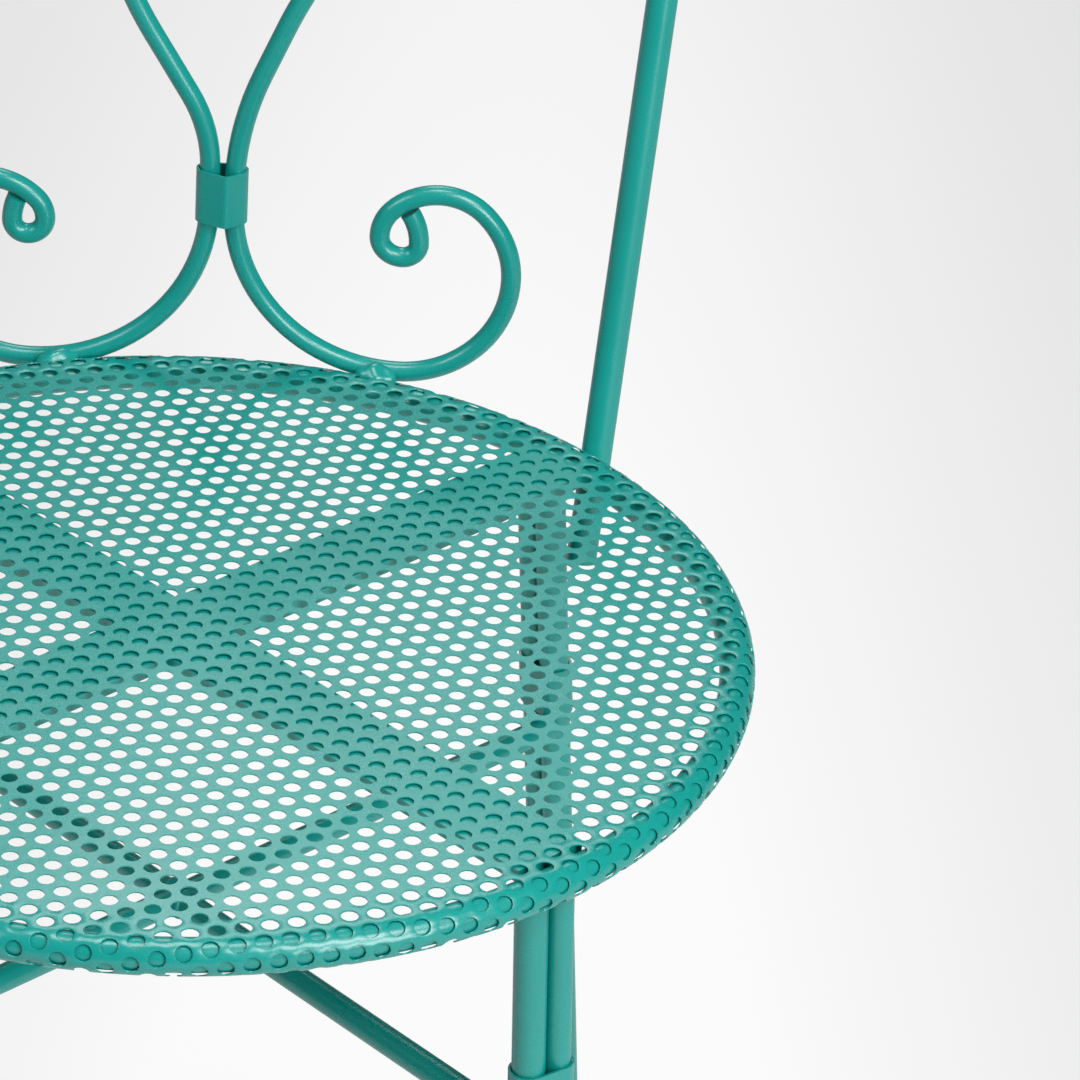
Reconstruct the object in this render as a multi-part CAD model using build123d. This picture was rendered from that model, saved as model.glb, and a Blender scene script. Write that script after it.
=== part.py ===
from build123d import *
import os
from math import asin, atan2, cos, degrees, hypot, radians, sin, sqrt, tan

os.makedirs("parts", exist_ok=True)

# Seat sizes, in millimetres and degrees
seat_height = 450.0
ring_diameter = 405.0
ring_bar = 12.0
sheet_thickness = 0.5
sheet_fit = 0.2
sheet_wrap = 150.0
opening_diameter = 22.0
opening_pitch = 33.0
bar_width = 30.0
bar_thickness = 5.0
bar_turn = 1.1
bar_shift_x = -2.4
bar_shift_y = -4.0

# Leg sizes
leg_tube = 12.0
leg_wall = 1.5
leg_rod = 10.0
leg_gap = 4.05
leg_corner = 45.0
front_splay = 3.2
rear_splay = 6.0
front_rod_turn = 30.0
rear_rod_turn = 135.0
rod_spacing = 0.2
collar_strip = 1.0
collar_height = 22.0
collar_fit = 0.2
leg_collar_drop = 103.0
stretcher_rod = 10.2
stretcher_drop = 120.0
stretcher_shift = 2.3
glide_wall = 2.0
glide_base = 4.0
glide_height = 16.0
glide_fit = 0.2

# Back hoop sizes
hoop_bar = 12.0
hoop_half_width = 149.5
hoop_splay = 4.25
hoop_recline = 11.3
hoop_rise = 435.0
hoop_tail = 44.0

# Back scroll sizes: each radius in a list bends the rod by an eighth of a turn
scroll_rod = 8.0
scroll_gap = 1.7
scroll_offset = -2.7
scroll_rise = -1.2
scroll_contact = 53.0
collar_rise = 6.0
left_lower_radii = [70.0, 70.0, 50.0, 43.0, 34.0, 29.0, 28.0, 12.0, 7.0, 7.0, 6.0, 6.0]
right_lower_radii = [67.0, 67.0, 43.0, 43.0, 39.0, 25.5, 26.0, 16.0, 8.5, 9.5, 6.5, 6.0]
upper_radii = [33.0, 27.0, 22.0, 14.0, 9.0, 9.0, 6.0, 6.0]
curl_end_radius = 24.0
left_curl_turn = 23.5
right_curl_turn = 34.0
upper_curl_turn = 30.8
left_knee_height = 100.6
left_knee_radius = 60.0
left_knee_turn = 31.0
right_knee_height = 101.4
right_knee_radius = 125.0
right_knee_turn = 23.0
stem_bend_height = 150.0
stem_bend_radius = 150.0
crown_radius = 34.0
shoulder_radius = 38.0
crease_depth = 6.5
crease_offset = 1.8
crease_radius = 1.0

# Room left for the weld between two pieces
weld_gap = 0.3

# Heights and radii that follow from the sizes
ring_radius = ring_diameter / 2
roll_inner = ring_bar / 2 + sheet_fit
roll_outer = roll_inner + sheet_thickness
sheet_under = seat_height - sheet_thickness
ring_height = seat_height - roll_outer
bar_under = sheet_under - bar_thickness
eighth = 45.0


def splay(end):
    # How far the front or rear legs lean out
    return radians(front_splay if end < 0 else rear_splay)


def leg_radius(end, height):
    # How far a leg tube's axis is from the seat's axis at a height
    top = ring_radius - (ring_bar / 2 + leg_tube / 2) / cos(splay(end)) - leg_gap
    return top + (ring_height - height) * tan(splay(end))


def slab(low, high):
    # A block wider than the chair between two heights
    size = 4 * ring_diameter
    return Pos(0, 0, (low + high) / 2) * Box(size, size, high - low)


def strip_loop(spots, fit, strip):
    # A strip bent round several round bars: each spot is x, y and radius
    inside = make_hull([(Pos(x, y) * Circle(r + fit)).edge() for x, y, r in spots])
    outside = make_hull([(Pos(x, y) * Circle(r + fit + strip)).edge() for x, y, r in spots])
    return outside, inside


def round_bar(path, diameter):
    # A round bar along a bent path
    return sweep(Plane(path @ 0, z_dir=path % 0) * Circle(diameter / 2), path=path)


def leaning(back, height, lean):
    # A frame on the chair's middle, facing the front and leaning to the rear
    return Plane((0, back, height), x_dir=(1, 0, 0), z_dir=(0, -cos(lean), sin(lean)))


def bends(start, heading, moves):
    # Tangent runs and arcs: each move is a radius and a turn, or zero and a length
    edges = []
    for radius, amount in moves:
        if radius:
            run = JernArc(start, heading, radius, amount)
        else:
            run = Line(start, start + heading * amount)
        edges.append(run.edge())
        start, heading = run @ 1, run % 1
    return edges


def seat_sheet():
    # A flat disc whose edge is rolled round the ring, as one turned section
    end_angle = 90 - sheet_wrap
    outer = CenterArc((ring_radius, ring_height), roll_outer, end_angle, sheet_wrap)
    inner = CenterArc((ring_radius, ring_height), roll_inner, end_angle, sheet_wrap)
    top = Line((0, seat_height), outer @ 1)
    under = Line((0, sheet_under), inner @ 1)
    ends = [Line(outer @ 0, inner @ 0), Line(top @ 0, under @ 0)]
    disc = revolve(Plane.XZ * make_face([top, outer, inner, under] + ends), Axis.Z)
    # A plain grid of openings with the open share of the punched sheet, one of them in the middle
    limit = ring_radius - ring_bar / 2 - opening_diameter / 2
    reach = range(-int(ring_diameter / opening_pitch), int(ring_diameter / opening_pitch) + 1)
    row_pitch = opening_pitch * sqrt(3) / 2
    spots = [((column + row % 2 / 2) * opening_pitch, row * row_pitch) for row in reach for column in reach]
    openings = [Pos(x, y) * Circle(opening_diameter / 2) for x, y in spots if hypot(x, y) < limit]
    low = Pos(0, 0, sheet_under - sheet_thickness)
    return disc - extrude(low * (Sketch() + openings), 3 * sheet_thickness)


def seat_ring():
    return Pos(0, 0, ring_height) * Torus(ring_radius, ring_bar / 2)


def cross_bars():
    # One flat bar from side to side of the ring, and two halves butted on its edges
    middle = (sheet_under + bar_under) / 2
    inside = Pos(0, 0, middle) * Cylinder(ring_radius - ring_bar / 2 - weld_gap, bar_thickness)
    low = (Align.MIN, Align.CENTER, Align.CENTER)
    half_bar = Pos(bar_width / 2, 0, 0) * Box(ring_diameter, bar_width, bar_thickness, align=low)
    bars = {
        "cross_bar_long": (90 - leg_corner, Box(2 * ring_diameter, bar_width, bar_thickness)),
        "cross_bar_half_front": (-leg_corner, half_bar),
        "cross_bar_half_rear": (180 - leg_corner, half_bar),
    }
    place = Pos(bar_shift_x, bar_shift_y, middle)
    return {name: (place * Rot(0, 0, turn + bar_turn) * bar) & inside for name, (turn, bar) in bars.items()}


def leg_pieces(side, end):
    # A leg's tube, companion rod, collar and glide, in the leg's own leaning frame
    lean = splay(end)
    rod_turn = radians(front_rod_turn if end < 0 else rear_rod_turn)
    out = Vector(side * sin(radians(leg_corner)), end * cos(radians(leg_corner)))
    upward = Vector(0, 0, 1) * cos(lean) - out * sin(lean)
    toward_rod = Vector(side * cos(rod_turn), sin(rod_turn))
    frame = Plane(out * leg_radius(end, 0), x_dir=toward_rod, z_dir=upward)
    length = seat_height / cos(lean)
    rod_place = leg_tube / 2 + leg_rod / 2 + rod_spacing
    spots = [(0, 0, leg_tube / 2), (rod_place, 0, leg_rod / 2)]

    def along(sketch, low, high):
        return frame * Pos(0, 0, low) * extrude(sketch, high - low)

    span = slab(glide_base, bar_under)
    tube = along(Circle(leg_tube / 2) - Circle(leg_tube / 2 - leg_wall), -glide_height, length) & span
    rod = along(Pos(rod_place, 0) * Circle(leg_rod / 2), -glide_height, length) & span
    wrap, core = strip_loop(spots, collar_fit, collar_strip)
    loop_low = (seat_height - leg_collar_drop) / cos(lean) - collar_height / 2
    collar = along(wrap - core, loop_low, loop_low + collar_height)
    shoe = strip_loop(spots, glide_fit, glide_wall)[0]
    glide = along(shoe, -glide_height, glide_height) & slab(0, seat_height)
    for x, y, radius in spots:
        socket = along(Pos(x, y) * Circle(radius + glide_fit), -glide_height, length)
        glide -= socket & slab(glide_base, seat_height)
    return {"leg_tube": tube, "leg_rod": rod, "leg_collar": collar, "foot_glide": glide}


def stretchers():
    # Two rods crossed under the seat: a whole one a little off its legs' middle, and one in halves
    height = seat_height - stretcher_drop
    start = stretcher_rod / 2 + weld_gap

    def tip(end):
        return leg_radius(end, height + stretcher_rod / 2) - leg_tube / 2 / cos(splay(end)) - weld_gap

    def rod(turn, shift, low, high):
        along = Vector(1, 0, 0).rotate(Axis.Z, turn)
        across = Vector(0, 1, 0).rotate(Axis.Z, turn)
        frame = Plane(across * shift + Vector(0, 0, height), x_dir=across, z_dir=along)
        return frame * Pos(0, 0, low) * extrude(Circle(stretcher_rod / 2), high - low)

    return {
        "stretcher_long": rod(90 - leg_corner, -stretcher_shift, -tip(-1), tip(1)),
        "stretcher_half_front": rod(-leg_corner, 0, start + stretcher_shift, tip(-1)),
        "stretcher_half_rear": rod(180 - leg_corner, 0, start - stretcher_shift, tip(1)),
    }


# The hoop stands outside the rolled edge, at the rear corners, in its own leaning frame
recline = radians(hoop_recline)
flare = radians(hoop_splay)
hoop_reach = ring_radius + (roll_outer + hoop_bar / 2 + weld_gap) / cos(recline)
hoop_back = sqrt(hoop_reach ** 2 - hoop_half_width ** 2)
hoop_frame = leaning(hoop_back, ring_height, recline)
arch_top = hoop_rise / cos(recline)
arch_centre = (arch_top - hoop_half_width * cos(flare)) / (1 + sin(flare))
arch_radius = arch_top - arch_centre


def back_hoop():
    # Two leaning uprights and the arc that is tangent to both
    foot_x = hoop_half_width - hoop_tail * tan(flare)
    shoulder = (arch_radius * cos(flare), arch_centre - arch_radius * sin(flare))
    right = Line((foot_x, -hoop_tail), shoulder)
    arch = JernArc(right @ 1, right % 1, arch_radius, 180 + 2 * hoop_splay)
    left = Line(arch @ 1, (-foot_x, -hoop_tail))
    return round_bar(hoop_frame * Wire([right.edge(), arch.edge(), left.edge()]), hoop_bar)


# The scroll stands on the rim at two points and meets the hoop where it is widest
scroll_side = (scroll_rod + scroll_gap) / 2
drop = right_lower_radii[0]
left_drop = left_lower_radii[0]
contact_run = scroll_side - scroll_offset + left_drop - scroll_contact
contact_height = scroll_rise + drop - sqrt(left_drop ** 2 - contact_run ** 2)
contact_out = sqrt((roll_outer + scroll_rod / 2 + weld_gap) ** 2 - (contact_height + roll_outer) ** 2)
scroll_back = sqrt((ring_radius + contact_out) ** 2 - scroll_contact ** 2)
scroll_base = seat_height + scroll_rise
volute_rise = ring_height + arch_centre * cos(recline) - scroll_base
scroll_lean = atan2(hoop_back + arch_centre * sin(recline) - scroll_back, volute_rise)
scroll_frame = leaning(scroll_back, scroll_base, scroll_lean)
volute_height = volute_rise / cos(scroll_lean)
volute_reach = arch_radius - hoop_bar / 2 - scroll_rod / 2 - weld_gap
collar_middle = drop + collar_rise


def scroll(side, lower_radii, curl_turn, knee_height, knee_radius, knee_turn):
    # A bent rod: down from the collar to the lower volute, and up to the volute on the hoop
    start = Vector(scroll_offset + side * scroll_side, collar_middle)
    moves = [(0, collar_rise)] + [(radius, side * eighth) for radius in lower_radii]
    moves += [(curl_end_radius, side * curl_turn)]
    lower = bends(start, Vector(0, -1), moves)
    knee = radians(knee_turn)
    climb = stem_bend_height - knee_height
    reach = volute_reach - shoulder_radius - side * start.X - climb * tan(knee)
    rise = volute_height + shoulder_radius - crown_radius - stem_bend_height
    far = hypot(reach, rise)
    rise_angle = degrees(atan2(rise, reach) + asin(crown_radius / far))
    bend_turn = rise_angle + knee_turn - 90
    knee_trim = knee_radius * tan(knee / 2)
    bend_trim = stem_bend_radius * tan(radians(abs(bend_turn)) / 2)
    moves = [(0, knee_height - collar_middle - knee_trim), (knee_radius, -side * knee_turn)]
    moves += [(0, climb / cos(knee) - knee_trim - bend_trim), (stem_bend_radius, side * bend_turn)]
    moves += [(0, sqrt(far ** 2 - crown_radius ** 2) - bend_trim), (crown_radius, -side * rise_angle)]
    moves += [(shoulder_radius, -side * 90.0)] + [(radius, -side * eighth) for radius in upper_radii]
    moves += [(curl_end_radius, -side * upper_curl_turn)]
    upper = bends(start, Vector(0, 1), moves)
    return round_bar(scroll_frame * Wire(lower[::-1] + upper), scroll_rod)


def back_collar():
    # A strip round both scroll rods, wide enough for their bend, with a crease down its front
    low = collar_height / 2 - collar_rise
    bow = drop - sqrt(drop ** 2 - low ** 2)
    spots = [(side * (scroll_side + bow), 0, scroll_rod / 2) for side in (-1, 1)]
    spots += [(crease_offset, -crease_depth, crease_radius)]
    wrap, core = strip_loop(spots, collar_fit, collar_strip)
    upright = Plane((scroll_offset, collar_middle - collar_height / 2, 0), x_dir=(1, 0, 0), z_dir=(0, 1, 0))
    return scroll_frame * (upright * extrude(wrap - core, collar_height))


parts = {"seat_sheet": seat_sheet(), "seat_ring": seat_ring()}
parts.update(cross_bars())
for side, side_name in ((-1, "left"), (1, "right")):
    for end, end_name in ((-1, "front"), (1, "rear")):
        for piece, shape in leg_pieces(side, end).items():
            parts[f"{piece}_{end_name}_{side_name}"] = shape
parts.update(stretchers())
parts["back_hoop"] = back_hoop()
parts["scroll_left"] = scroll(
    -1, left_lower_radii, left_curl_turn, left_knee_height, left_knee_radius, left_knee_turn)
parts["scroll_right"] = scroll(
    1, right_lower_radii, right_curl_turn, right_knee_height, right_knee_radius, right_knee_turn)
parts["back_collar"] = back_collar()

# The origin is on the floor, under the middle of the whole chair
boxes = [shape.bounding_box() for shape in parts.values()]
middle_y = (min(box.min.Y for box in boxes) + max(box.max.Y for box in boxes)) / 2
for name, shape in parts.items():
    placed = Pos(0, -middle_y, 0) * shape
    placed.label = name
    export_step(placed, f"parts/{name}.step")
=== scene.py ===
import bpy
import bmesh
from math import cos, hypot, pi, radians, sin, sqrt
from mathutils import Euler, Matrix, Vector, noise
from mathutils.bvhtree import BVHTree


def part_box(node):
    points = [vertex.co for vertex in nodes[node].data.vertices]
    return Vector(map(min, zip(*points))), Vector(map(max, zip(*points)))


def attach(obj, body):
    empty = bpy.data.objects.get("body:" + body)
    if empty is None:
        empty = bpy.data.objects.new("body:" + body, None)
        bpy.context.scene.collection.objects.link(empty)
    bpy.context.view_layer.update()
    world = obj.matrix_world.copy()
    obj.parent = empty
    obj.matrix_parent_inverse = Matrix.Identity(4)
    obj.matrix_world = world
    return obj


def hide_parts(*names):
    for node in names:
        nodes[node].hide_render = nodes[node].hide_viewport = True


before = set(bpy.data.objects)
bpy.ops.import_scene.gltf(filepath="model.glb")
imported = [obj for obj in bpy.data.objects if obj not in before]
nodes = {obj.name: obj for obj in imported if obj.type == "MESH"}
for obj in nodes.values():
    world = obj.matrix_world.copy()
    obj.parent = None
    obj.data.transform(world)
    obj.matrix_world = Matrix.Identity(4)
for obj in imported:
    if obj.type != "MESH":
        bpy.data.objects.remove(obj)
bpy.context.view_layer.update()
ringLow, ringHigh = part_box("seat_ring")
seatMiddle = (ringLow + ringHigh) / 2  # centre of the bent ring under the seat
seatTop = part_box("seat_sheet")[1].z
print("frame:", len(nodes), "nodes, seat top at", round(seatTop, 4))


def newPiece(name, bm, material, smoothAngle=35):
    # a finished bmesh becomes an object on the chair's one body
    bmesh.ops.recalc_face_normals(bm, faces=bm.faces[:])
    for face in bm.faces:
        face.smooth = True
    for edge in bm.edges:
        edge.smooth = edge.is_manifold and edge.calc_face_angle(0) < radians(smoothAngle)
    mesh = bpy.data.meshes.new(name)
    bm.to_mesh(mesh)
    bm.free()
    piece = bpy.data.objects.new(name, mesh)
    bpy.context.scene.collection.objects.link(piece)
    mesh.materials.append(material)
    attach(piece, "root")
    return piece


# shader node helpers

def addNode(tree, kind, **values):
    node = tree.nodes.new(kind)
    for key, value in values.items():
        if hasattr(node, key):
            setattr(node, key, value)
        else:
            node.inputs[key.replace("_", " ")].default_value = value
    return node


grainSpec = {
    "peelDetail": 1.5, "peelRoughness": 0.45, "grainDetail": 2.0, "grainRoughness": 0.6,
    "driftScale": 14.0, "driftDetail": 3.0, "driftRoughness": 0.55,
    "speckFull": 0.05, "speckEnd": 0.22, "speckRarity": 0.9,
    "grainHeight": 0.22, "speckHeight": 0.6, "grainGloss": 0.35,
}


def makeCoatGroup(spec):
    # powder coat: soft orange peel, fine grain, a few specks, and a slow drift of tone
    group = bpy.data.node_groups.new("powderCoat", "ShaderNodeTree")
    for name in ("Peel Scale", "Grain Scale", "Speck Scale"):
        group.interface.new_socket(name, in_out="INPUT", socket_type="NodeSocketFloat")
    for name in ("Height", "Tone", "Gloss"):
        group.interface.new_socket(name, in_out="OUTPUT", socket_type="NodeSocketFloat")
    start = group.nodes.new("NodeGroupInput")
    end = group.nodes.new("NodeGroupOutput")
    place = group.nodes.new("ShaderNodeTexCoord")
    link = group.links.new
    peel = addNode(group, "ShaderNodeTexNoise", Detail=spec["peelDetail"], Roughness=spec["peelRoughness"])
    grain = addNode(group, "ShaderNodeTexNoise", Detail=spec["grainDetail"], Roughness=spec["grainRoughness"])
    drift = addNode(group, "ShaderNodeTexNoise", Scale=spec["driftScale"], Detail=spec["driftDetail"],
                    Roughness=spec["driftRoughness"])
    speck = group.nodes.new("ShaderNodeTexVoronoi")
    for node in (peel, grain, drift, speck):
        link(place.outputs["Object"], node.inputs["Vector"])
    link(start.outputs["Peel Scale"], peel.inputs["Scale"])
    link(start.outputs["Grain Scale"], grain.inputs["Scale"])
    link(start.outputs["Speck Scale"], speck.inputs["Scale"])
    dot = addNode(group, "ShaderNodeMapRange", From_Min=spec["speckFull"], From_Max=spec["speckEnd"],
                  To_Min=1.0, To_Max=0.0)
    dot.interpolation_type = "SMOOTHSTEP"
    link(speck.outputs["Distance"], dot.inputs["Value"])
    rare = addNode(group, "ShaderNodeMath", operation="GREATER_THAN")
    rare.inputs[1].default_value = spec["speckRarity"]
    split = group.nodes.new("ShaderNodeSeparateColor")
    link(speck.outputs["Color"], split.inputs["Color"])
    link(split.outputs["Red"], rare.inputs[0])
    specks = addNode(group, "ShaderNodeMath", operation="MULTIPLY")
    link(dot.outputs["Result"], specks.inputs[0])
    link(rare.outputs[0], specks.inputs[1])
    fine = addNode(group, "ShaderNodeMath", operation="MULTIPLY_ADD")
    fine.inputs[1].default_value = spec["grainHeight"]
    link(grain.outputs["Fac"], fine.inputs[0])
    link(peel.outputs["Fac"], fine.inputs[2])
    total = addNode(group, "ShaderNodeMath", operation="MULTIPLY_ADD")
    total.inputs[1].default_value = spec["speckHeight"]
    link(specks.outputs[0], total.inputs[0])
    link(fine.outputs[0], total.inputs[2])
    gloss = addNode(group, "ShaderNodeMix", data_type="FLOAT")
    gloss.inputs[0].default_value = spec["grainGloss"]
    link(drift.outputs["Fac"], gloss.inputs[2])
    link(grain.outputs["Fac"], gloss.inputs[3])
    link(total.outputs[0], end.inputs["Height"])
    link(drift.outputs["Fac"], end.inputs["Tone"])
    link(gloss.outputs[0], end.inputs["Gloss"])
    return group


coatGroup = makeCoatGroup(grainSpec)


noiseRange = {"From_Min": 0.3, "From_Max": 0.7}  # what the noise mostly spans


def coatMaterial(name, spec):
    material = bpy.data.materials.new(name)
    material.use_nodes = True
    tree = material.node_tree
    shader = tree.nodes["Principled BSDF"]
    coat = tree.nodes.new("ShaderNodeGroup")
    coat.node_tree = coatGroup
    coat.inputs["Peel Scale"].default_value = spec["peelScale"]
    coat.inputs["Grain Scale"].default_value = spec["grainScale"]
    coat.inputs["Speck Scale"].default_value = spec["speckScale"]
    tone = tree.nodes.new("ShaderNodeMix")
    tone.data_type = "RGBA"
    tone.inputs[6].default_value = spec["deep"]
    tone.inputs[7].default_value = spec["light"]
    spread = addNode(tree, "ShaderNodeMapRange", **noiseRange)
    rough = addNode(tree, "ShaderNodeMapRange", **noiseRange)
    rough.inputs["To Min"].default_value = spec["roughness"][0]
    rough.inputs["To Max"].default_value = spec["roughness"][1]
    bump = addNode(tree, "ShaderNodeBump", Strength=spec["bump"], Distance=spec["bumpDepth"])
    link = tree.links.new
    link(coat.outputs["Tone"], spread.inputs["Value"])
    link(spread.outputs["Result"], tone.inputs[0])
    link(tone.outputs[2], shader.inputs["Base Color"])
    link(coat.outputs["Gloss"], rough.inputs["Value"])
    link(rough.outputs["Result"], shader.inputs["Roughness"])
    link(coat.outputs["Height"], bump.inputs["Height"])
    link(bump.outputs["Normal"], shader.inputs["Normal"])
    shader.inputs["IOR"].default_value = spec["ior"]
    return material


tealCoatSpec = {
    "deep": (0.003, 0.288, 0.254, 1), "light": (0.005, 0.320, 0.283, 1),
    "roughness": (0.22, 0.32), "ior": 1.6,
    "peelScale": 520, "grainScale": 2600, "speckScale": 260, "bump": 0.35, "bumpDepth": 0.00012,
}
tealCoat = coatMaterial("tealCoat", tealCoatSpec)

glideSpec = {
    "deep": (0.018, 0.018, 0.019, 1), "light": (0.03, 0.03, 0.031, 1),
    "roughness": (0.5, 0.62), "ior": 1.47,
    "peelScale": 900, "grainScale": 3200, "speckScale": 500, "bump": 0.4, "bumpDepth": 0.0001,
}
glidePlastic = coatMaterial("glidePlastic", glideSpec)
print("materials: powder coat and glide plastic")

for name, node in nodes.items():
    finish = glidePlastic if name.startswith("foot_glide") else tealCoat
    node.data.materials.clear()
    node.data.materials.append(finish)


# the punched seat sheet, rolled round the ring

sheetSpec = {
    "pitch": 0.008985, "rowGap": 0.007967, "hole": 0.0061, "stagger": 0.00058, "skew": -0.0098,
    "rowAngle": 17.05, "holeAtMiddle": (-0.00073, 0.00252),
    "thickness": 0.0005, "lift": 0.0004, "wrap": 150, "cutSides": 160,
    "edgeRound": 0.00014, "lipAngle": 0.9, "lipDepth": 0.0003, "rimCells": 1.2, "mergeDistance": 0.00001,
    "wave": 0.0005, "waveSize": 0.11, "waveStart": (3.1, 7.7, 0.4), "waveFade": 0.03,
}


def holeCell(spec, odd):
    # a hexagon of sheet round one hole, as a small mesh
    bm = bmesh.new()
    rim = bmesh.ops.create_circle(bm, segments=6, radius=spec["pitch"] / sqrt(3))["verts"]
    stretch = spec["rowGap"] / (spec["pitch"] * sqrt(3) / 2)
    bmesh.ops.scale(bm, vec=(1, stretch, 1), verts=rim)
    bmesh.ops.subdivide_edges(bm, edges=bm.edges[:], cuts=1)
    hole = bmesh.ops.create_circle(bm, segments=12, radius=spec["hole"] / 2)["verts"]
    bmesh.ops.translate(bm, vec=((0.5 - odd) * spec["stagger"], 0, 0), verts=hole)
    bmesh.ops.bridge_loops(bm, edges=bm.edges[:])
    bmesh.ops.recalc_face_normals(bm, faces=bm.faces[:])
    if bm.faces[:][0].normal.z < 0:
        bmesh.ops.reverse_faces(bm, faces=bm.faces[:])
    mesh = bpy.data.meshes.new("holeCell")
    bm.to_mesh(mesh)
    bm.free()
    return mesh


def punchedSheet(spec):
    ringRadius = (ringHigh.x - ringLow.x) / 2 - (ringHigh.z - ringLow.z) / 2
    top = seatTop + spec["lift"]
    outer = top - seatMiddle.z
    middle = outer - spec["thickness"] / 2
    cutRadius = ringRadius + radians(spec["wrap"]) * middle
    rimRadius = ringRadius - spec["rimCells"] * spec["pitch"]
    flat, rim = bmesh.new(), bmesh.new()
    skew = Matrix.Identity(4)
    skew[0][1] = spec["skew"]
    turn = Matrix.Rotation(radians(spec["rowAngle"]), 4, "Z") @ skew
    first = Vector((*spec["holeAtMiddle"], 0))
    cells = [holeCell(spec, odd) for odd in (0, 1)]
    for cell in cells:
        cell.transform(turn)
    rows = int(cutRadius / spec["rowGap"]) + 2
    columns = int(cutRadius / spec["pitch"]) + 2
    count = 0
    for row in range(-rows, rows + 1):
        for column in range(-columns, columns + 1):
            shift = column + (row % 2) / 2
            spot = turn @ Vector((shift * spec["pitch"], row * spec["rowGap"], 0)) + first
            if spot.length > cutRadius + spec["pitch"]:
                continue
            cell = cells[row % 2]
            cell.transform(Matrix.Translation(spot))
            (rim if spot.length > rimRadius else flat).from_mesh(cell)
            cell.transform(Matrix.Translation(-spot))
            count += 1
    for step in range(spec["cutSides"]):  # trims the blank to a round one, through the holes
        angle = 2 * pi * step / spec["cutSides"]
        out = Vector((cos(angle), sin(angle), 0))
        everything = rim.verts[:] + rim.edges[:] + rim.faces[:]
        bmesh.ops.bisect_plane(rim, geom=everything, plane_co=out * cutRadius, plane_no=out, clear_outer=True)
    whole = bpy.data.meshes.new("rimPart")
    rim.to_mesh(whole)
    rim.free()
    flat.from_mesh(whole)
    bpy.data.meshes.remove(whole)
    for cell in cells:
        bpy.data.meshes.remove(cell)
    bmesh.ops.remove_doubles(flat, verts=flat.verts[:], dist=spec["mergeDistance"])
    waveStart = Vector(spec["waveStart"])
    for vert in flat.verts:  # bends the outer part round the ring bar
        radius = hypot(vert.co.x, vert.co.y)
        lift = noise.noise(vert.co / spec["waveSize"] + waveStart) * 0.5 + 0.5
        rise = spec["wave"] * lift * min(1, max(0, (ringRadius - radius) / spec["waveFade"]))
        if radius > ringRadius:
            bend = (radius - ringRadius) / middle
            reach = (ringRadius + outer * sin(bend)) / radius
            vert.co = Vector((vert.co.x * reach, vert.co.y * reach, seatMiddle.z + outer * cos(bend)))
        else:
            vert.co.z = top + rise
        vert.co.x += seatMiddle.x
        vert.co.y += seatMiddle.y
    bmesh.ops.recalc_face_normals(flat, faces=flat.faces[:])
    upward = sum(face.normal.z for face in flat.faces)
    if upward < 0:
        bmesh.ops.reverse_faces(flat, faces=flat.faces[:])
    bmesh.ops.solidify(flat, geom=flat.faces[:], thickness=spec["thickness"])

    def onRoll(vert):
        away = hypot(vert.co.x - seatMiddle.x, vert.co.y - seatMiddle.y)
        height = vert.co.z - seatMiddle.z
        return away > rimRadius and hypot(away - ringRadius, height) > outer - spec["lipDepth"]

    sharp = [edge for edge in flat.edges if edge.is_manifold and edge.calc_face_angle(0) > spec["lipAngle"]]
    lips = [edge for edge in sharp if all(map(onRoll, edge.verts))]
    bmesh.ops.bevel(flat, geom=lips, offset=spec["edgeRound"], segments=2, profile=0.5,
                    affect="EDGES", material=-1)
    print("seat sheet:", count, "cells,", len(lips), "lip edges,",
          sum(len(f.verts) - 2 for f in flat.faces), "triangles")
    return flat


seatSheet = newPiece("seatSheet", punchedSheet(sheetSpec), tealCoat)
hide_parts("seat_sheet")


# weld beads: rings round bar ends, runs along flat ends, and lumps where bars touch

weldSpec = {
    "bead": 0.0015, "lump": 0.0052, "lumpLength": 0.0175, "lumpSide": 0.0036, "draw": 0.4,
    "sides": 12, "ringSteps": 40, "wobble": 0.4, "wobbleSize": 0.0045, "slides": 60, "stay": 0.45,
    "endDepth": 0.0006, "edgeDepth": 0.0002, "runShare": 1.2, "smallShare": 0.5,
}


def surfaceOf(*names):
    spots, faces = [], []
    for name in names:
        mesh = nodes[name].data
        faces += [[len(spots) + i for i in face.vertices] for face in mesh.polygons]
        spots += [vert.co.copy() for vert in mesh.vertices]
    return BVHTree.FromPolygons(spots, faces)


def endOf(name, along, spec):
    # the points of a node's end, on the side that a direction points to
    spots = [vert.co for vert in nodes[name].data.vertices]
    far = max(spot.dot(along) for spot in spots)
    return [spot for spot in spots if spot.dot(along) > far - spec["endDepth"]]


def addBead(bm, part, spine, other, spec):
    # roughens a bead, draws it toward the piece that it joins, and adds it to the welds
    for vert in part.verts:
        spot = spine(vert.co)
        swell = 1 + spec["wobble"] * noise.noise(vert.co / spec["wobbleSize"])
        drawn = spot.lerp(other.find_nearest(spot)[0], spec["draw"])
        vert.co = drawn + (vert.co - spot) * swell
    mesh = bpy.data.meshes.new("bead")
    part.to_mesh(mesh)
    part.free()
    bm.from_mesh(mesh)
    bpy.data.meshes.remove(mesh)


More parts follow.
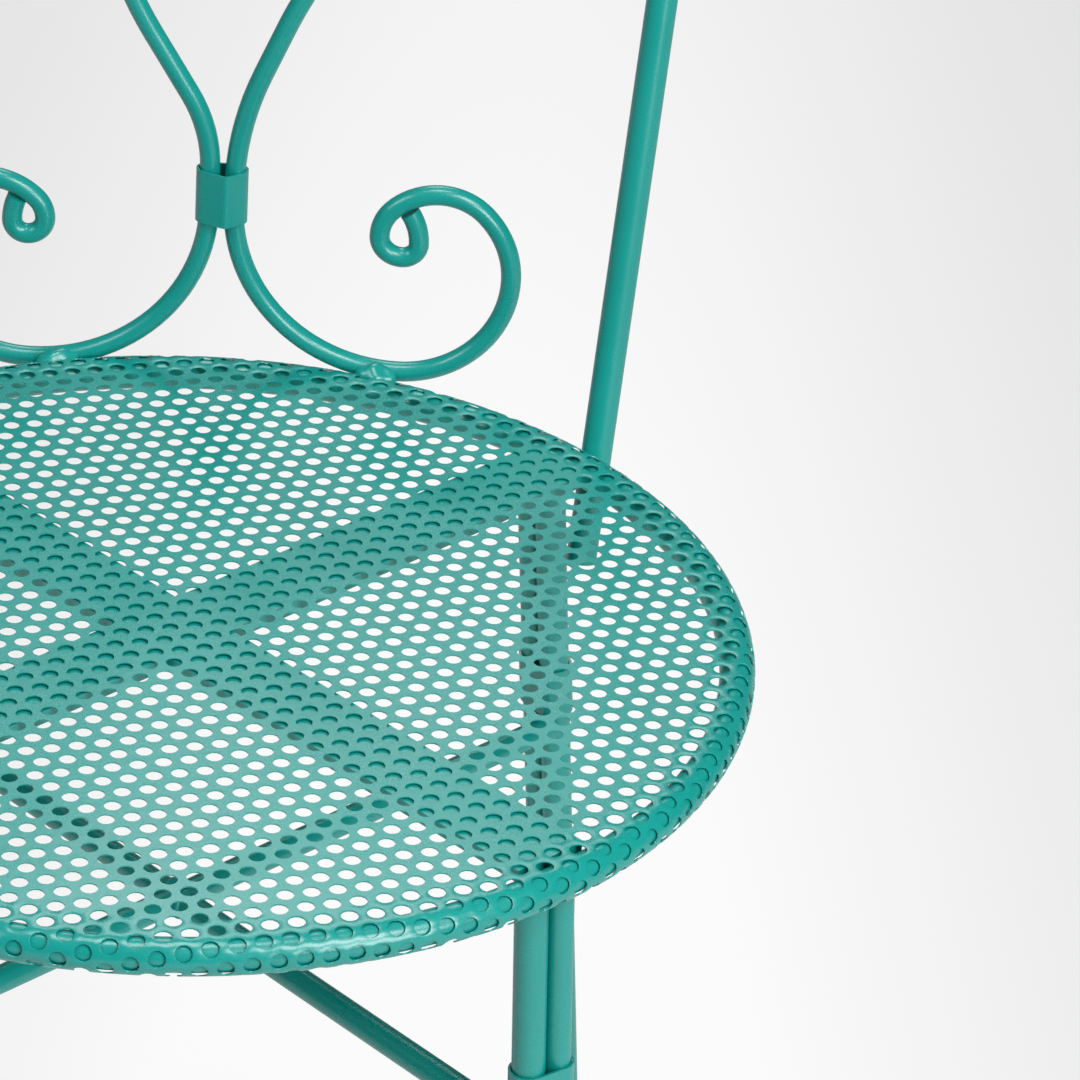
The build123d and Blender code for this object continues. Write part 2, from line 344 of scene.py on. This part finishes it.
def ringBead(bm, name, along, other, spec):
    end = endOf(name, along, spec)
    low = Vector(min(spot[i] for spot in end) for i in range(3))
    high = Vector(max(spot[i] for spot in end) for i in range(3))
    centre = (low + high) / 2
    radius = max((spot - centre).length for spot in end)
    first = along.orthogonal().normalized()
    facing = along.cross(first).to_track_quat("Z", "Y").to_matrix().to_4x4()
    part = bmesh.new()
    bmesh.ops.create_circle(part, segments=spec["sides"], radius=spec["bead"],
                            matrix=Matrix.Translation(centre + first * radius) @ facing)
    bmesh.ops.spin(part, geom=part.verts[:] + part.edges[:], cent=centre, axis=along, angle=2 * pi,
                   steps=spec["ringSteps"], use_merge=True)

    def spine(spot):
        out = spot - centre
        return centre + (out - along * out.dot(along)).normalized() * radius

    addBead(bm, part, spine, other, spec)


def straightBead(bm, middle, along, length, thickness, other, spec):
    part = bmesh.new()
    bmesh.ops.create_icosphere(part, subdivisions=3, radius=1)
    size = Matrix.Diagonal((thickness, thickness, length / 2, 1))
    facing = along.to_track_quat("Z", "Y").to_matrix().to_4x4()
    bmesh.ops.transform(part, matrix=Matrix.Translation(middle) @ facing @ size, verts=part.verts[:])
    addBead(bm, part, lambda spot: middle + along * (spot - middle).dot(along), other, spec)


def runBead(bm, name, along, other, spec):
    # along the lower edge of a flat bar's end
    end = endOf(name, along, spec)
    floor = min(spot.z for spot in end)
    corners = [spot for spot in end if spot.z < floor + spec["edgeDepth"]]
    across = along.cross(Vector((0, 0, 1)))
    first = min(corners, key=lambda spot: spot.dot(across))
    last = max(corners, key=lambda spot: spot.dot(across))
    thickness = spec["bead"] * spec["runShare"]
    straightBead(bm, (first + last) / 2, across, (last - first).length, thickness, other, spec)


def touchBead(bm, first, second, guess, along, share, stay, spec):
    # lumps on both sides of where two bars meet, slid from a guess toward where they are closest
    spot = guess
    for step in range(spec["slides"]):
        spot = second.find_nearest(first.find_nearest(spot)[0])[0]
    onFirst = first.find_nearest(spot.lerp(guess, stay))[0]
    spot = second.find_nearest(onFirst)[0]
    normal = (onFirst - spot).normalized()
    along = (along - normal * along.dot(normal)).normalized()
    across = along.cross(normal)
    for side in (-1, 1):
        middle = (onFirst + spot) / 2 + across * side * spec["lumpSide"] * share
        straightBead(bm, middle, along, spec["lumpLength"] * share, spec["lump"] * share, second, spec)


def makeWelds(spec):
    bm = bmesh.new()
    up, right, back = Vector((0, 0, 1)), Vector((1, 0, 0)), Vector((0, 1, 0))
    bars = surfaceOf("cross_bar_long", "cross_bar_half_front", "cross_bar_half_rear")
    legs = surfaceOf(*[name for name in nodes if name.startswith("leg_tube")])
    for name in nodes:
        if name.startswith(("leg_tube", "leg_rod")):
            ringBead(bm, name, up, bars, spec)
    diagonal, cross = (right + back).normalized(), (right - back).normalized()
    ring, longBar, longRod = map(surfaceOf, ("seat_ring", "cross_bar_long", "stretcher_long"))
    outerEnds = (("long", diagonal), ("long", -diagonal), ("half_front", cross), ("half_rear", -cross))
    for name, along in outerEnds:
        ringBead(bm, "stretcher_" + name, along, legs, spec)
        runBead(bm, "cross_bar_" + name, along, ring, spec)
    for name, along in (("half_front", -cross), ("half_rear", cross)):
        ringBead(bm, "stretcher_" + name, along, longRod, spec)
        runBead(bm, "cross_bar_" + name, along, longBar, spec)
    seat, hoop = surfaceOf("seat_sheet"), surfaceOf("back_hoop")
    small = spec["smallShare"]
    cornerSpot = (ringHigh.x - ringLow.x) / 2 * sin(radians(45))
    for side, name in ((-1, "scroll_left"), (1, "scroll_right")):
        spots = [vert.co for vert in nodes[name].data.vertices]
        scroll = surfaceOf(name)
        touchBead(bm, scroll, seat, min(spots, key=lambda spot: spot.z), right, 1, spec["stay"], spec)
        touchBead(bm, scroll, hoop, max(spots, key=lambda spot: side * spot.x), up, small, 0, spec)
        touchBead(bm, hoop, seat, seatMiddle + (right * side + back) * cornerSpot, up, small, 0, spec)
    print("welds:", len(bm.faces), "faces")
    return bm


welds = newPiece("welds", makeWelds(weldSpec), tealCoat, smoothAngle=60)


# floor, light and camera

stageSpec = {
    "floorSize": 14, "floorColor": (0.8, 0.8, 0.8, 1), "floorRoughness": 0.9, "floorSpecular": 0.1,
    "seenShare": 0.9, "mirrorShare": 0.3,  # how much of the glow the camera and the gloss see
    "glow": (0.768, 1.345), "glowMiddle": (0.109, -4.58), "glowWidth": 0.316, "glowLength": 5.75,
}


def makeStage(spec):
    # a pale floor with painted light: it glows for the camera and in the gloss, brightest in a soft band that
    # runs from the front to the back
    bm = bmesh.new()
    bmesh.ops.create_grid(bm, x_segments=2, y_segments=2, size=spec["floorSize"] / 2)
    mesh = bpy.data.meshes.new("floor")
    bm.to_mesh(mesh)
    bm.free()
    floor = bpy.data.objects.new("floor", mesh)
    bpy.context.scene.collection.objects.link(floor)
    material = bpy.data.materials.new("paleFloor")
    material.use_nodes = True
    tree = material.node_tree
    link = tree.links.new
    shader = tree.nodes["Principled BSDF"]
    shader.inputs["Base Color"].default_value = spec["floorColor"]
    shader.inputs["Roughness"].default_value = spec["floorRoughness"]
    shader.inputs["Specular IOR Level"].default_value = spec["floorSpecular"]
    place = tree.nodes.new("ShaderNodeTexCoord")
    band = addNode(tree, "ShaderNodeMapping", vector_type="TEXTURE")
    band.inputs["Location"].default_value = (*spec["glowMiddle"], 0)
    band.inputs["Scale"].default_value = (spec["glowWidth"], spec["glowLength"], 1)
    away = addNode(tree, "ShaderNodeVectorMath", operation="DOT_PRODUCT")
    minus = addNode(tree, "ShaderNodeMath", operation="MULTIPLY")
    minus.inputs[1].default_value = -1
    fade = addNode(tree, "ShaderNodeMath", operation="EXPONENT")
    level = addNode(tree, "ShaderNodeMapRange", To_Min=spec["glow"][0], To_Max=spec["glow"][1])
    white = addNode(tree, "ShaderNodeMath", operation="MINIMUM")
    white.inputs[1].default_value = 1
    # painted light: this emission makes the floor shine, brighter in the band, where the camera and the gloss
    # see it
    glow = tree.nodes.new("ShaderNodeEmission")
    link(place.outputs["Object"], band.inputs["Vector"])
    link(band.outputs["Vector"], away.inputs[0])
    link(band.outputs["Vector"], away.inputs[1])
    link(away.outputs["Value"], minus.inputs[0])
    link(minus.outputs[0], fade.inputs[0])
    link(fade.outputs[0], level.inputs["Value"])
    link(level.outputs["Result"], white.inputs[0])
    link(white.outputs[0], glow.inputs["Strength"])
    path = tree.nodes.new("ShaderNodeLightPath")
    mirror = addNode(tree, "ShaderNodeMath", operation="MULTIPLY")
    mirror.inputs[1].default_value = spec["mirrorShare"]
    share = addNode(tree, "ShaderNodeMath", operation="MULTIPLY_ADD")
    share.inputs[1].default_value = spec["seenShare"]
    mix = tree.nodes.new("ShaderNodeMixShader")
    link(path.outputs["Is Glossy Ray"], mirror.inputs[0])
    link(path.outputs["Is Camera Ray"], share.inputs[0])
    link(mirror.outputs[0], share.inputs[2])
    link(share.outputs[0], mix.inputs[0])
    link(shader.outputs[0], mix.inputs[1])
    link(glow.outputs[0], mix.inputs[2])
    link(mix.outputs[0], tree.nodes["Material Output"].inputs["Surface"])
    mesh.materials.append(material)


def areaLamp(name, azimuth, elevation, distance, size, power, aim):
    # azimuth from the front toward the right, as the camera sees it
    a, e = radians(azimuth), radians(elevation)
    away = Vector((sin(a) * cos(e), -cos(a) * cos(e), sin(e)))
    data = bpy.data.lights.new(name, "AREA")
    data.shape = "DISK"
    data.size = size
    data.energy = power
    lamp = bpy.data.objects.new(name, data)
    lamp.location = aim + away * distance
    lamp.rotation_euler = away.to_track_quat("Z", "Y").to_euler()
    bpy.context.scene.collection.objects.link(lamp)


worldSpec = {"room": (0.96, 0.98, 1, 1), "light": 0.02, "seen": 0.88, "mirror": 0.12}


def makeWorld(spec):
    # the room lights the chair far less than it shows behind it
    world = bpy.data.worlds.new("softRoom")
    bpy.context.scene.world = world
    world.use_nodes = True
    tree = world.node_tree
    back = tree.nodes["Background"]
    back.inputs["Color"].default_value = spec["room"]
    path = tree.nodes.new("ShaderNodeLightPath")
    mirror = addNode(tree, "ShaderNodeMapRange", To_Min=spec["light"], To_Max=spec["mirror"])
    seen = addNode(tree, "ShaderNodeMath", operation="MULTIPLY")
    seen.inputs[1].default_value = spec["seen"]
    level = addNode(tree, "ShaderNodeMath", operation="MAXIMUM")
    link = tree.links.new
    link(path.outputs["Is Glossy Ray"], mirror.inputs["Value"])
    link(path.outputs["Is Camera Ray"], seen.inputs[0])
    link(mirror.outputs["Result"], level.inputs[0])
    link(seen.outputs[0], level.inputs[1])
    link(level.outputs[0], back.inputs["Strength"])


# each lamp: azimuth, elevation and power
lampSpec = {
    "keyLow": (40, 15, 26), "keyHigh": (40, 45, 29), "top": (0, 85, 19.5),
    "fillLeft": (-60, 40, 14.5), "rear": (180, 45, 10),
}
lampDistance, lampSize, lampAim = 2.4, 1.0, Vector((0, 0, 0.45))
makeStage(stageSpec)
makeWorld(worldSpec)
for name, (azimuth, elevation, power) in lampSpec.items():
    areaLamp(name, azimuth, elevation, lampDistance, lampSize, power, lampAim)

# the camera's place is from the middle of the seat's top
cameraSpec = {
    "place": (0.11574, -1.55678, 0.93473), "turn": (60.1337, -3.2054, 1.3719),
    "lens": 166.88, "sensor": 36, "clip": (0.05, 60),
}
cameraData = bpy.data.cameras.new("camera")
cameraData.lens = cameraSpec["lens"]
cameraData.sensor_width = cameraSpec["sensor"]
cameraData.clip_start, cameraData.clip_end = cameraSpec["clip"]
camera = bpy.data.objects.new("camera", cameraData)
camera.location = Vector(cameraSpec["place"]) + Vector((seatMiddle.x, seatMiddle.y, seatTop))
camera.rotation_euler = Euler([radians(a) for a in cameraSpec["turn"]])
bpy.context.scene.collection.objects.link(camera)
bpy.context.scene.camera = camera
bpy.context.scene.view_settings.view_transform = "Standard"
